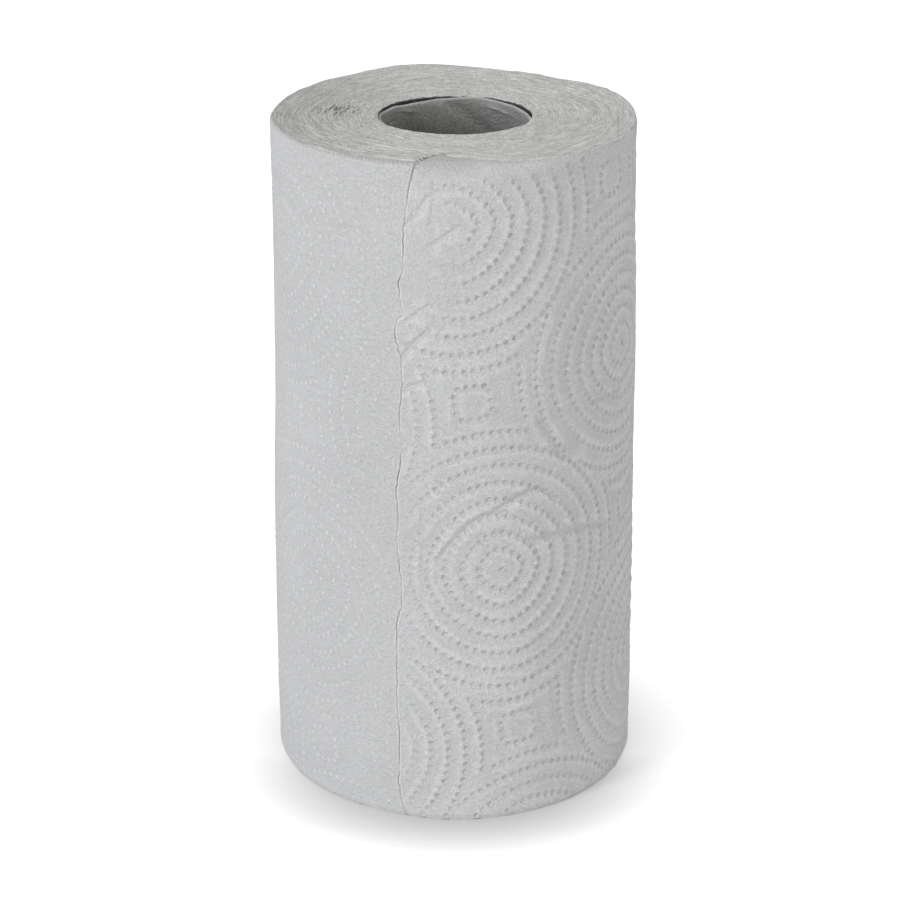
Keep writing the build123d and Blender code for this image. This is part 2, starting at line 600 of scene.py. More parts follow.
def from_line(along, height, line):
    """How far each place on the web is from a line of points."""
    nearest = np.full(np.shape(along), np.inf)
    for (x0, y0), (x1, y1) in zip(line, line[1:]):
        dx, dy = x1 - x0, y1 - y0
        share = ((along - front_along - x0) * dx + (height - y0) * dy) / (dx * dx + dy * dy)
        share = np.clip(share, 0, 1)
        gap = np.hypot(along - front_along - x0 - share * dx, height - y0 - share * dy)
        nearest = np.minimum(nearest, gap)
    return nearest


def crease_depth(along, height):
    """How far all the creases and the hollow sink the paper."""
    sunk = np.zeros(np.shape(along))
    for depth, half_width, line in creases:
        reach = from_line(along, height, line) / half_width
        sunk = sunk + depth * (1 - np.clip(reach, 0, 1)) ** 1.5
    dent = np.hypot(along - front_along - hollow_place[0], height - hollow_place[1])
    return sunk + hollow_depth * (1 - ease(dent / hollow_width))


print("creases beside the tear and right of it:", len(creases))

# %% [markdown]
# ## The torn edge and the loose tail
# The last sheet was torn off by hand. The tear follows the old perforation only roughly: it
# wanders by a few millimetres, leans right towards the top, and is finely ragged. Behind it the
# tail isn't stuck down. It lies close to the layer below, with a thin crevice along the edge. The
# edge is written as a function of the height, so every other shape can ask how far it lies from
# the tear.

# %% Torn edge
torn_edge = (   # how far the edge lies to the right of the tail's angle, and the share of the height
    (3.3, 0.00), (1.9, 0.02), (0.7, 0.05), (1.1, 0.13), (0.3, 0.18), (0.2, 0.30), (0.5, 0.32),
    (2.2, 0.34), (1.8, 0.38), (0.3, 0.44), (0.9, 0.48), (0.4, 0.52), (2.2, 0.57), (1.7, 0.63),
    (2.7, 0.68), (2.3, 0.72), (0.5, 0.75), (0.9, 0.775), (3.0, 0.78), (1.5, 0.83), (3.2, 0.845),
    (3.4, 0.91), (4.6, 0.95), (6.0, 0.98), (7.2, 1.00),
)
tear_right, tear_share = zip(*torn_edge)
tear_fuzz = 0.22                # of the fine raggedness, and the length of one of its waves
tear_fuzz_length = 0.9


def tear(height):
    """Where the torn edge is, at that height."""
    height = np.asarray(height)
    fuzz = tear_fuzz * unevenness(height / tear_fuzz_length, 0.0 * height, 31)
    return np.interp(height / roll_height, tear_share, tear_right) + fuzz


def beside_tear(along, height):
    """How far right of the torn edge a place on the tail, or on the sheet under it, lies."""
    return np.where(along < turn_length / 2, along, along - turn_length) - tear(height)


edge_places = tear(np.arange(0.0, roll_height))
print("the torn edge wanders from", edge_places.min().round(1), "to", edge_places.max().round(1), "mm")

# %% Loose tail
tail_lift_length = 15.0         # how far in from the tail the last sheet is loose
tail_hug = 0.84                 # how far its edge is drawn in to the layer below
swell_height = 0.55             # how much the sheet left of the tail stands up
swell_length = 30.0             # over what length it comes up
crevice_width = 0.45            # of the thin crevice along the torn edge


def tail_shape(along, height):
    """The loose tail lies close to the layer below, with its edge rounded down to a crevice."""
    beside = beside_tear(along, height)
    hug = tail_hug + 0.14 * unevenness(height / 17.0, 0 * height, 5)
    round_edge = 0.10 * (1 - ease(beside / 0.9))
    tail = -(hug + round_edge) * (1 - ease(along / tail_lift_length))
    open_here = 0.05 + 0.50 * unevenness(height / 6.0, 0 * height, 6) + 0.3 * ease((height - 205) / 12)
    under = ease(1 + beside / crevice_width)
    swell = swell_height * ease(1.5 + beside / swell_length) * (1 - under) - open_here * under
    return np.where(along < turn_length / 2, tail, swell)


print("halfway up, the tail's edge is drawn in by", -tail_shape(0.0, roll_height / 2).round(2), "mm")

# %% [markdown]
# ## Relief of the paper
# Between the dots the paper puffs up, so each row of dots lies in a shallow groove. The sheets
# also wave a little where they don't touch the layer below. The dots aren't equally deep: near
# the tail the roll was pressed and they are flattened, and the sheet left of the tail shows them
# from behind, as small raised places. All of this is a function of the place on the web.

# %% Pressed dots, grooves and waves
press = (       # along the web, share of the full depth: below 0 the dots stand out
    (0.0, 0.4), (14.0, 1.0), (265.0, 1.0), (290.0, -0.25),
    (312.0, -0.3), (332.0, -0.5), (352.0, -0.5), (367.0, -0.3),
)
press_places, press_shares = zip(*press)
worn_patch = (9.0, 196.0)       # middle of a patch where handling has flattened the dots
worn_patch_half = (19.0, 34.0)  # half its width and height
groove_depth = 0.36
wave_depth = 0.30
ripple_depth = 0.12
plain_margin = 8.0              # the paper is even so near to the roll's two rims
centres = ring_centres(web_length)


def pressed(along, height):
    """How deep the dots are. Near the tail they are flattened, and left of it they stand out."""
    from_patch = np.hypot(
        (along - worn_patch[0]) / worn_patch_half[0],
        (height - worn_patch[1]) / worn_patch_half[1],
    )
    kept = 0.25 + 0.75 * ease((from_patch - 0.45) / 0.55)
    return np.interp(along, press_places, press_shares) * kept


def groove(along, height):
    """A soft wave that is lowest along the rings of dots."""
    places = np.stack([along, height], axis=-1)
    gaps = places[..., None, :] - centres
    nearest = np.hypot(gaps[..., 0], gaps[..., 1]).argmin(axis=-1)
    offset = places - centres[nearest]
    number = (np.hypot(offset[..., 0], offset[..., 1]) - ring_start[1]) / ring_spacing[1]
    return groove_depth * (np.cos(2 * pi * number) * 0.5 + 0.5) * ease(number)


def relief(along, height):
    """How far the paper stands out from its winding, without the dots."""
    from_tail = np.minimum(np.abs(along), np.abs(along - turn_length))
    waves = wave_depth * unevenness(along / 26.0, height / 34.0, 11) * ease(from_tail / 14)
    ripples = ripple_depth * unevenness(along / 6.0, height / 8.0, 12) * ease(from_tail / 4)
    margins = ease(height / plain_margin) * ease((roll_height - height) / plain_margin)
    sunk = groove(along, height) * np.clip(pressed(along, height), 0.3, 1) + crease_depth(along, height)
    return (waves + ripples - sunk) * margins + tail_shape(along, height)


halfway = relief(np.arange(30.0, 230.0), np.full(200, roll_height / 2))
print("halfway up, the paper lies between", halfway.min().round(2), "and", halfway.max().round(2), "mm")

# %% [markdown]
# ## A sheet as a closed skin
# The torn edge is ragged, the dots are small and the paper between them is plain, so an even grid
# would waste most of its points. Blender can join loose points in a plane into triangles that
# keep a given outline. Each dot brings fifteen points, the plain paper between them few, and
# the flat net of triangles is then laid on the roll. A coarser net at the back and a wall
# round the edge close the sheet.

# %% Outline of a sheet
edge_step = 0.6             # distance between the points of an outline


def steps(start, end, step=edge_step):
    """Even steps from start towards end, without end itself."""
    count = max(2, round(abs(end - start) / step))
    return start + (end - start) * np.arange(count) / count


def outline(left_edge, right_edge):
    """Places round a sheet, counter-clockwise, between two edges that depend on the height."""
    up, down = steps(0, roll_height), steps(roll_height, 0)
    low = steps(float(left_edge(0.0)), float(right_edge(0.0)))
    high = steps(float(right_edge(roll_height)), float(left_edge(roll_height)))
    return np.concatenate([
        np.stack([low, 0 * low], axis=-1),
        np.stack([right_edge(up), up], axis=-1),
        np.stack([high, 0 * high + roll_height], axis=-1),
        np.stack([left_edge(down), down], axis=-1),
    ])


print("points on one upright edge of a sheet:", len(steps(0, roll_height)))

# %% Points of plain paper
plain_step = 1.55           # distance between the points of plain paper
shoulder_step = 0.45        # the same, up the web, where the rim bends


def inside(points, left_edge, right_edge, margin):
    """Which points lie on the sheet and at least margin away from its edges."""
    along, height = points[:, 0], points[:, 1]
    return (
        (along > left_edge(height) + margin) & (along < right_edge(height) - margin)
        & (height > margin) & (height < roll_height - margin)
    )


def plain_points(left, right):
    """A grid with every other row shifted, and closer rows near the upper rim."""
    shoulder = roll_height - max(crush_drops) - 1.0
    rows = np.concatenate([
        np.arange(plain_step, shoulder, plain_step * 0.87),
        np.arange(shoulder, roll_height, shoulder_step),
    ])
    columns = np.arange(left, right, plain_step)
    along, height = np.meshgrid(columns, rows)
    along = along + plain_step / 2 * (np.arange(len(rows)) % 2)[:, None]
    return np.stack([along.ravel(), height.ravel()], axis=-1)


print("points of plain paper on a stretch of 100 mm:", len(plain_points(0.0, 100.0)))

# %% Points of the tear and the creases
tear_rows = (-1.0, -0.75, -0.5, -0.25, 0.0, 0.3, 0.65, 1.0)     # how far each lies from the tear
crease_rows = (-1, -0.5, 0, 0.5, 1)         # the same from a crease, in its own half widths
crease_step = 0.7


def tear_points(left_edge, right_edge):
    """Rows of points along the torn edge, close enough together for its crevice."""
    heights = np.arange(0.7, roll_height - 0.5, edge_step)
    rows = []
    for start in (0.0, turn_length):
        for offset in tear_rows:
            rows.append(np.stack([start + tear(heights) + offset, heights], axis=-1))
    rows = np.concatenate(rows)
    return rows[inside(rows, left_edge, right_edge, 0.25)]


def crease_points(left_edge, right_edge):
    """Rows of points beside each crease, close enough together to show it sharp."""
    spots = []
    for _, half_width, line in creases:
        for (x0, y0), (x1, y1) in zip(line, line[1:]):
            length = hypot(x1 - x0, y1 - y0)
            sideways = np.array([y0 - y1, x1 - x0]) / length
            for share in np.arange(0, 1, crease_step / length):
                middle = np.array([front_along + x0 + share * (x1 - x0), y0 + share * (y1 - y0)])
                spots += [middle + out * half_width * sideways for out in crease_rows]
    spots = np.array(spots)
    return spaced(spots[inside(spots, left_edge, right_edge, 0.6)], 0.35)


print("rows of points along the tear:", len(tear_rows), "and along a crease:", len(crease_rows))

# %% Points of the dots
dot_rings = (   # number of points, distance from the middle, share of the depth
    (1, 0.0, 1.0),
    (6, 0.55, 0.90),
    (8, 1.00, -0.45),       # a lip that stands up round the dot
)
dot_radius = 1.00
dot_depth = 0.33


def points_of_dots(own_dots):
    """The points of these dots and how deep each point lies."""
    along, height = own_dots.T
    depths = dot_depth * (1 + 0.4 * unevenness(along / 2.4, height / 2.4, 21))
    depths = depths * pressed(along, height)
    places, sinks = [], []
    for count, distance, depth_share in dot_rings:
        for number in range(count):
            turn = 2 * pi * (number + 0.5 * (distance > 0.5)) / count
            places.append(own_dots + distance * np.array([np.cos(turn), np.sin(turn)]))
            sinks.append(depths * depth_share)
    return np.concatenate(places), np.concatenate(sinks)


print("points on each dot:", len(points_of_dots(dots[:1])[0]))

# %% Points between the dots
def far_from(points, others, gap):
    """The points that are no nearer than gap to any of the others."""
    tree = KDTree(len(others))
    for number, other in enumerate(others):
        tree.insert((*other, 0), number)
    tree.balance()
    return points[[tree.find((*point, 0))[2] > gap for point in points]]


def points_between(own_dots, border, left_edge, right_edge):
    """The points of plain paper, of the creases and of the torn edge, none too near another."""
    plain = plain_points(border[:, 0].min(), border[:, 0].max())
    plain = plain[inside(plain, left_edge, right_edge, 0.6)]
    plain = far_from(plain, own_dots, dot_radius + 0.35)
    folds = crease_points(left_edge, right_edge)
    if len(folds):
        folds = far_from(folds, own_dots, dot_radius + 0.2)
        plain = np.concatenate([far_from(plain, folds, 0.6), folds])
    beside = tear_points(left_edge, right_edge)
    return np.concatenate([far_from(plain, beside, 0.5), beside])


# %% Triangles of a sheet
def net(border, loose):
    """Joins a border and the loose points inside it into triangles, the border's points first."""
    points = [Vector(point) for point in np.concatenate([border, loose])]
    edges = [(number, (number + 1) % len(border)) for number in range(len(border))]
    found = delaunay_2d_cdt(points, edges, [], 0, 1e-5, True)
    number_of = [origins[0] for origins in found[3]]
    faces = []
    for face in found[2]:
        a, b, c = (number_of[corner] for corner in face)
        # Border points that come in falling order make a triangle outside the border.
        if max(a, b, c) >= len(border) or (a < b) + (b < c) + (c < a) == 2:
            faces.append((a, b, c))
    return faces


def mesh_piece(name, points, faces, finish, sharp=60.0):
    """A smooth-shaded mesh object, with its corners sharper than that many degrees kept."""
    mesh = bpy.data.meshes.new(name)
    mesh.from_pydata(points.tolist(), [], faces)
    mesh.validate()
    mesh.shade_smooth()
    mesh.set_sharp_from_angle(angle=radians(sharp))
    mesh.materials.append(finish)
    piece = bpy.data.objects.new(name, mesh)
    bpy.context.scene.collection.objects.link(piece)
    triangles = sum(len(face.vertices) - 2 for face in mesh.polygons)
    print(name, "has", len(mesh.vertices), "points and", triangles, "triangles")
    return piece


# %% Sheet maker
back_share = 9              # the back of a sheet takes one of so many points of plain paper
sheet_sharp = 28.0          # degrees: the torn edge and the slits stay sharp


def dots_on(left_edge, right_edge, dots_until):
    """The dots of one sheet, clear of its edges, of the bent rim and of the tear."""
    shoulder = roll_height - 0.8 * rim(dots[:, 0])[1]
    wanted = inside(dots, left_edge, right_edge, 1.4) & (dots[:, 1] < shoulder - 1.0)
    wanted &= (np.abs(beside_tear(*dots.T)) > 2.2) & (dots[:, 0] < dots_until)
    return dots[wanted]


def sheet(name, left_edge, right_edge, dots_until, finish):
    """One sheet between two edges, with dots up to some place along it."""
    border = outline(left_edge, right_edge)
    own_dots = dots_on(left_edge, right_edge, dots_until)
    dot_places, dot_sinks = points_of_dots(own_dots)
    plain = points_between(own_dots, border, left_edge, right_edge)
    print(name, "carries", len(own_dots), "dots, and", len(plain), "points lie between them")
    face_places = np.concatenate([border, dot_places, plain])
    sinks = np.concatenate([np.zeros(len(border)), dot_sinks, np.zeros(len(plain))])
    front = net(border, face_places[len(border):])
    back_places = np.concatenate([border, plain[::back_share]])
    back = net(border, back_places[len(border):])

    along, height = face_places.T
    points = on_roll(along, height, relief(along, height) - sinks)
    along, height = back_places.T
    back_points = on_roll(along, height, relief(along, height) - paper_thickness)
    shift = len(points)
    faces = front + [[corner + shift for corner in reversed(face)] for face in back]
    for number in range(len(border)):
        following = (number + 1) % len(border)
        faces.append([number, number + shift, following + shift, following])
    return mesh_piece(name, np.concatenate([points, back_points]), faces, finish, sheet_sharp)


# %% [markdown]
# ## Streaks round the axis
# The ends of the roll show the cut edges of about a hundred layers, as fine streaks that run
# round the axis. Noise can be stretched that way: its place is the direction from the axis, times
# a small number, and the radius, times a large one. That has no seam, as an angle would.

# %% Streaks
streak_radius = 0.045       # metres: a streak has its given length there, in the middle of the end


def ring_streaks(finish, place, length, width):
    """Noise whose patches are so long round the axis and so wide across, in metres."""
    x, y, z = (finish.part(axis, place) for axis in "XYZ")
    radius = (x * x + y * y) ** 0.5
    waver = finish.noise(place, 130.0, 2.0) * 1.6
    vector = finish.node("ShaderNodeCombineXYZ", {}, {
        "X": x / radius * (streak_radius / length),
        "Y": y / radius * (streak_radius / length),
        "Z": radius / width + z / (4 * width) + waver,
    })
    return finish.noise(vector, 1.0, 3.0, 0.6)


print("a streak of 10 mm takes", round(0.010 / streak_radius * 180 / pi, 1), "degrees")

# %% [markdown]
# ## The finish of the paper
# The paper is matt and nearly white. Close up it is a felt of fibres with a fine crepe, so its
# colour is mottled a little and its surface has a grain of less than a millimetre. The grain is
# bump, because it is finer than the mesh. The embossing is in the mesh, and its raised places are
# painted a little lighter than the rest, a painted highlight where they would catch the light.
# Where the sheet bends over the upper rim it is painted greyer, partly painted shade on the slope
# that faces up, and it is streaky like the layer edges beside it.

# %% Embossed paper
paper_shade = grey(0.60, -0.006, 0.012)     # the dark places of the felt, and its light ones
paper_white = grey(0.85, -0.008, 0.016)
# a painted highlight for the raised places of the embossing
painted_highlight_white = grey(0.96)
# Over the upper rim the sheet is painted greyer, partly painted shade on the slope that faces up, and
# streaky like the layer edges.
bent_painted_shade = grey(0.52, 0.004, -0.012)      # the same over the upper rim
bent_white = grey(0.72)


def embossed_paper():
    """Matt white paper with crepe and fibres, a painted highlight where raised, and painted greyer over
    the rim.
    """
    paper = Finish(bpy.data.materials.new("embossed_paper"))
    place = paper.node("ShaderNodeTexCoord", take="Object")
    fibres = paper.noise(place, 1900.0, 3.0, 0.65)
    crepe = paper.noise(place, 900.0, 3.0, 0.6)
    clouds = paper.noise(place, 28.0, 2.0)
    mottled = paper.share(0.6 * fibres + 0.25 * crepe + 0.15 * clouds, 0.32, 0.68)
    colour = paper.blend(mottled, paper_shade, paper_white)
    x, y, z = (paper.part(axis, place) for axis in "XYZ")
    # Painted highlight: where the paper bulges, on the lips of the dots and the raised dots, it is
    # painted lighter.
    bulging = paper.node("ShaderNodeNewGeometry", take="Pointiness")
    highlight_where_raised = paper.share(bulging, 0.505, 0.540) * paper.share(bulging, 0.59, 0.56)
    highlight_where_raised = highlight_where_raised * paper.share(z, 0.2205, 0.2165) * paper.share(z, 0.0015, 0.0040)
    colour = paper.blend(0.75 * highlight_where_raised, colour, painted_highlight_white)
    radius = (x * x + y * y) ** 0.5
    streaks = ring_streaks(paper, place, 0.010, 0.0010)
    # Painted shade over the upper rim: where the sheet leans in or reaches the very top it is painted
    # greyer, with streaks.
    shade_over_rim = paper.share(radius + 0.008 * streaks, 0.0630, 0.0535)
    shade_over_rim = shade_over_rim.at_least(paper.share(z + 0.001 * streaks, 0.2242, 0.2254))
    colour = paper.blend(shade_over_rim, colour, paper.blend(streaks, bent_painted_shade, bent_white))
    height = 0.5 * crepe + 0.5 * fibres
    return paper.surface(colour, 0.86 + 0.12 * fibres, height, 0.0014, Specular_IOR_Level=0.12)


paper_finish = embossed_paper()
print(paper_finish.name, "has", len(paper_finish.node_tree.nodes), "nodes")

# %% [markdown]
# ## The last two sheets
# The last sheet runs from the torn edge at the front round to a perforation at the back, and the
# next one from there on until it is hidden under the tail. A perforation is a row of fine slits
# with short bridges of paper between them, so the edges of both sheets are toothed there.

# %% Edges of the sheets
perforation_along = 240.0
slit_length = 5.0
bridge_length = 2.0
slit_half_width = 0.18


def perforated(side):
    """An edge at the perforation: it draws back to its own side where the blade cut a slit."""
    def edge(height):
        cut = np.asarray(height) % (slit_length + bridge_length) < slit_length
        return perforation_along + side * np.where(cut, slit_half_width, 0.0)
    return edge


def under_tail(height):
    """The hidden end of what is modelled of the web."""
    return web_length + 0.0 * np.asarray(height)


print("slits along the perforation:", round(roll_height / (slit_length + bridge_length)))

# %% Make the two sheets
dots_hidden = turn_length + 9.0     # from here on the tail hides the dots of the sheet under it
last_sheet = sheet("last_sheet", tear, perforated(-1), web_length, paper_finish)
next_sheet = sheet("next_sheet", perforated(1), under_tail, dots_hidden, paper_finish)

# %% [markdown]
# ## The wound paper
# Under the sheets all the layers are wound tight. Their edges make the two ends of the roll:
# fine, broken streaks that run round the hole, with a few open slits at the left. The hole is
# pinched at its left and right, because the tube was squeezed. One net of closed loops goes over
# the upper end, down outside, back under the lower end and up inside the hole.

# %% Outlines of the wound paper
hole_half_width = 24.95
hole_half_depth = 24.8
hole_pinch = 4.5            # rounding of the hole's two narrow ends
hole_turn = -12.0           # how many degrees the pinched hole is turned about the axis
hole_shift = 1.0            # how far its middle lies behind the axis


def hole_radius(azimuth):
    """Distance of the pinched hole's edge from the axis: two wide arcs and two small ones."""
    small_centre = hole_half_width - hole_pinch
    wide_radius = (small_centre**2 + hole_half_depth**2 - hole_pinch**2)
    wide_radius /= 2 * (hole_half_depth - hole_pinch)
    wide_centre = wide_radius - hole_half_depth
    span = hypot(small_centre, wide_centre)
    corner = atan2(wide_radius * wide_centre / span - wide_centre, wide_radius * small_centre / span)
    turned = azimuth - radians(hole_turn)
    sine, cosine = np.abs(np.sin(turned)), np.abs(np.cos(turned))
    wide = -wide_centre * sine + np.sqrt(wide_radius**2 - (wide_centre * cosine) ** 2)
    small = small_centre * cosine
    small = small + np.sqrt(np.maximum(hole_pinch**2 - (small_centre * sine) ** 2, 0))
    ragged = 0.14 * uneven_round(azimuth, 36, 0 * azimuth, 46)
    ragged = ragged + 0.08 * uneven_round(azimuth, 110, 0 * azimuth, 47)
    return np.where(sine < np.sin(corner), small, wide) + hole_shift * np.sin(azimuth) + ragged


def along_at(azimuth):
    """How far along the web the outside of the roll is, at that azimuth."""
    return (azimuth - radians(tail_angle)) % (2 * pi) * roll_radius


def body_radius(azimuth):
    """Outside of the wound paper, just under the sheets and under the loose tail."""
    along = along_at(azimuth)
    under_tail_radius = winding_radius(turn_length) - paper_thickness
    under_sheet_radius = winding_radius(along) - paper_thickness
    filled = (under_sheet_radius - under_tail_radius) * ease((along - 16.0) / 12.0)
    return under_tail_radius + filled + 0.05


hole_widths = hole_radius(once_round) + hole_radius(once_round + pi)
print("the hole is", hole_widths.max().round(1), "mm across where it is widest")

# %% Relief of the upper end
layer_pitch = 0.46          # distance between the layers that show
slit_place = (radians(168.0), 38.0)     # azimuth and radius of the middle of the open slits
slit_reach = 12.0
slit_depth = 0.8


def end_relief(azimuth, radius):
    """How far the layers stand above the flat upper end."""
    wavy = radius + 0.7 * uneven_round(azimuth, 30, radius / 3.0, 40)
    layer = wavy / layer_pitch + azimuth / (2 * pi)
    streaks = uneven_round(azimuth, 44, layer, 41)
    broken = uneven_round(azimuth, 130, layer / 1.6, 42)
    swell = uneven_round(azimuth, 14, radius / 6.0, 43)
    return 0.19 * streaks + 0.17 * broken + 0.30 * swell


def open_slits(azimuth, radius):
    """How deep the short open slits between the layers are."""
    away = np.hypot(
        radius * np.cos(azimuth) - slit_place[1] * np.cos(slit_place[0]),
        radius * np.sin(azimuth) - slit_place[1] * np.sin(slit_place[0]),
    )
    openings = uneven_round(azimuth, 90, radius / 0.5, 44)
    return slit_depth * ease((openings - 0.15) / 0.4) * (1 - ease((away - 3) / (slit_reach - 3)))


heights = end_relief(once_round, np.full(360, 40.0))
print("on a ring 40 mm from the axis, the layers stand up to", heights.max().round(2), "mm high")

# %% Shape of the upper end
end_level = 0.25            # how far the layers lie below the roll's full height
under_sheet_depth = 0.45    # how much lower they are under the sheet that leans over them
crevice_depth = 2.2         # of the crevice along that sheet's edge, beside the tail
mouth_sink = 0.35           # how much the innermost layers are drawn down into the hole


def upper_end(azimuth, share):
    """Radius and height of the upper end, for a share of the way from the hole to the outside."""
    inner = hole_radius(azimuth)
    outer = body_radius(azimuth) + out_of_round(azimuth, roll_height)
    radius = inner + (outer - inner) * share
    along = along_at(azimuth)
    reach, drop = rim(along)
    # Where the sheet leans over them, the layers slope down with it and lie a little lower.
    inward = (winding_radius(along) + out_of_round(azimuth, roll_height) - radius) / reach
    slope = drop * (1 - np.sqrt(1 - (1 - np.clip(inward, 0, 1)) ** 2))
    under_sheet = ease((reach - 1.4) / 2.0) * (1 - ease((inward - 0.65) / 0.35))
    under_sheet = np.where(along < 16, ease((reach - 1.4) / 2.0) * (inward < 1), under_sheet)
    # A narrow crevice runs along that sheet's edge beside the tail, and the streaks are calm there.
    beside_edge = (inward - 1) * reach - 0.35
    crevice = np.exp(-((beside_edge / 0.5) ** 2)) * ease((along - 6) / 2)
    crevice = crevice * (1 - ease((along - 22) / 8))
    calm = 1 - 0.8 * np.exp(-((beside_edge / 1.5) ** 2)) * ease(reach - 1.4)
    level = roll_height - end_level + calm * end_relief(azimuth, radius)
    level = level - open_slits(azimuth, radius) - slope - under_sheet_depth * under_sheet
    level = level - crevice_depth * crevice + rim_lift(azimuth) * ease(share)
    return radius, level - mouth_sink * (1 - ease((radius - inner) / 0.8))


inner_level = upper_end(once_round, 0.0)[1].mean()
print("the layers beside the hole lie", round(roll_height - inner_level, 2), "mm below the full height")

# %% Closed loops as a net
def loops_piece(name, loops, finish):
    """Joins closed loops, each with the same number of points, into one closed skin."""
    rows, count = loops.shape[:2]
    faces = []
    for row in range(rows):
        here, there = row * count, (row + 1) % rows * count
        for column in range(count):
            beside = (column + 1) % count
            faces.append((here + column, there + column, there + beside, here + beside))
    return mesh_piece(name, loops.reshape(-1, 3), faces, finish)


def loop(azimuth, radius, level):
    """A closed loop of points in metres round the axis."""
    level = level + 0 * azimuth
    return np.stack([radius * np.cos(azimuth), radius * np.sin(azimuth), level], axis=-1) * MM


# %% [markdown]
# ## The finish of the layer edges
# The cut edges of the layers are warmer than the face of the paper, with long and short streaks and
# crumbs of fluff. They are a little darker too, with painted shade in the gaps between the layers.
# At the left, where the layers lie loose, more painted shade is laid between them. The steep sides
# of the crevice, and the wall of the hole just below the mouth, are narrow gaps that hardly any
# light reaches, so they are darker still.

# %% Layer edges
# painted shade in the gaps between the layers, at the dark end of the streaks
gap_painted_shade = grey(0.47, 0.002, -0.012)       # between the layers
layer_white = grey(0.87, 0.002, -0.012)
crevice_shade = grey(0.13)
hole_shade = grey(0.05)


def layer_edges():
    """Matt, streaky ends of the wound layers, with painted shade between them."""
    ends = Finish(bpy.data.materials.new("layer_edges"))
    place = ends.node("ShaderNodeTexCoord", take="Object")
    long_streaks = ring_streaks(ends, place, 0.012, 0.0011)
    short_streaks = ring_streaks(ends, place, 0.004, 0.0007)
    fibres = ends.noise(place, 1400.0, 2.0)
    crumbs = ends.noise(place, 1300.0, 3.0, 0.65)
    tone = ends.share(0.3 * long_streaks + 0.35 * short_streaks + 0.35 * crumbs, 0.37, 0.63)
    x, y, z = (ends.part(axis, place) for axis in "XYZ")
    # Painted shade: the layer edges are painted darker towards the left, where shade falls between the
    # loose layers.
    loose = ends.share(x, -0.015, -0.055)
    tone = tone - 0.28 * loose
    colour = ends.blend(tone, gap_painted_shade, layer_white)
    upward = ends.part("Z", ends.node("ShaderNodeNewGeometry", take="True Normal"))
    radius = (x * x + y * y) ** 0.5
    steep = ends.share(upward, 0.55, 0.20) * ends.share(radius, 0.0570, 0.0555)
    colour = ends.blend(0.75 * steep, colour, crevice_shade)
    in_hole = ends.share(upward, 0.75, 0.25) * ends.share(radius, 0.031, 0.028)
    colour = ends.blend(in_hole * ends.share(z, 0.2245, 0.2238), colour, hole_shade)
    height = 0.3 * long_streaks + 0.4 * short_streaks + 0.15 * fibres + 0.15 * crumbs
    return ends.surface(colour, 0.88 + 0.1 * fibres, height, 0.0024, Specular_IOR_Level=0.12)


end_finish = layer_edges()
print(end_finish.name, "has", len(end_finish.node_tree.nodes), "nodes")

# %% Make the wound paper
body_columns = 460
upper_rings = 158
lower_rings = 24
wall_rows = (   # share of the height, how far the wall stays clear of the sheets
    (0.985, 0.0), (0.955, 1.3), (0.7, 1.5), (0.4, 1.5), (0.045, 1.3), (0.015, 0.0),
)
hole_rows = (0.02, 0.3, 0.6, 0.85, 0.97)    # shares of the height

around = np.arange(body_columns) / body_columns * 2 * pi
loops = [loop(around, *upper_end(around, share)) for share in np.linspace(0, 1, upper_rings)]
rim_level = upper_end(around, 1.0)[1]
wall = body_radius(around)
for share, slack in wall_rows:
    level = rim_level * share
    loops.append(loop(around, wall + out_of_round(around, level) - slack, level))
inner_wall = hole_radius(around)
lower_wall = wall + out_of_round(around, 0 * around)
for share in np.linspace(1, 0, lower_rings):
    radius = inner_wall + (lower_wall - inner_wall) * share
    loops.append(loop(around, radius, 0.25 + 0.12 * uneven_round(around, 36, radius / 1.2, 45)))
loops += [loop(around, inner_wall, roll_height * share) for share in hole_rows]
paper_body = loops_piece("paper_body", np.array(loops), end_finish)

# %% [markdown]
# ## The cardboard tube
# Such a tube is wound from strips of grey board, so a shallow seam runs down inside it like the
# thread of a screw. This one was squeezed together with the paper: its mouth is pushed outwards
# at the two narrow ends of the hole and at the back right, and shallow wrinkles show below it.
# The wall is one millimetre thick. The tube is made of closed loops, as the wound paper is, and
# its length and radius are those of the CAD model's tube.

# %% Tube sizes
tube_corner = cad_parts["core"].matrix_world @ Vector(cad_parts["core"].bound_box[6])
tube_wall = 1.0
tube_radius = round(tube_corner.x / MM, 1) - tube_wall      # inside
tube_length = round(tube_corner.z / MM, 1)
print("the tube is", tube_length, "mm long and", 2 * tube_radius, "mm wide inside")

# %% Tube shape
seam_rise = 105.0           # how far the seam climbs in one turn
seam_top_azimuth = 99.0     # where it reaches the mouth
seam_depth = 1.0
seam_half_width = 2.6
ply_height = 0.25           # of the step where one strip of board ends on the next
ply_step_width = 3.5
ply_fade_width = 40.0       # and how wide the step fades away
mouth_depth = 34.0          # how far down the squeezed part of the tube goes
mouth_pushes = (    # how far outwards, azimuth and half width in degrees
    (1.0, 168.0, 30.0),
    (1.3, -12.0, 30.0),
    (0.7, 138.0, 34.0),
    (1.7, 72.0, 46.0),
    (-0.4, -90.0, 60.0),
)
wrinkle_half_width = 0.7
wrinkles = (    # depth, level, climb per degree, azimuth of the middle, half length in degrees
    (-0.50, 221.2, 0.07, 131.0, 14.0),
    (-0.70, 221.3, 0.03, 52.0, 27.0),
    (0.45, 219.0, -0.05, 150.0, 16.0),
    (0.50, 222.3, 0.03, -4.0, 26.0),
)


def mouth_push(azimuth):
    """How far the mouth is pushed outwards, or inwards where negative."""
    return sum(far * bump(azimuth, middle, half_width) for far, middle, half_width in mouth_pushes)


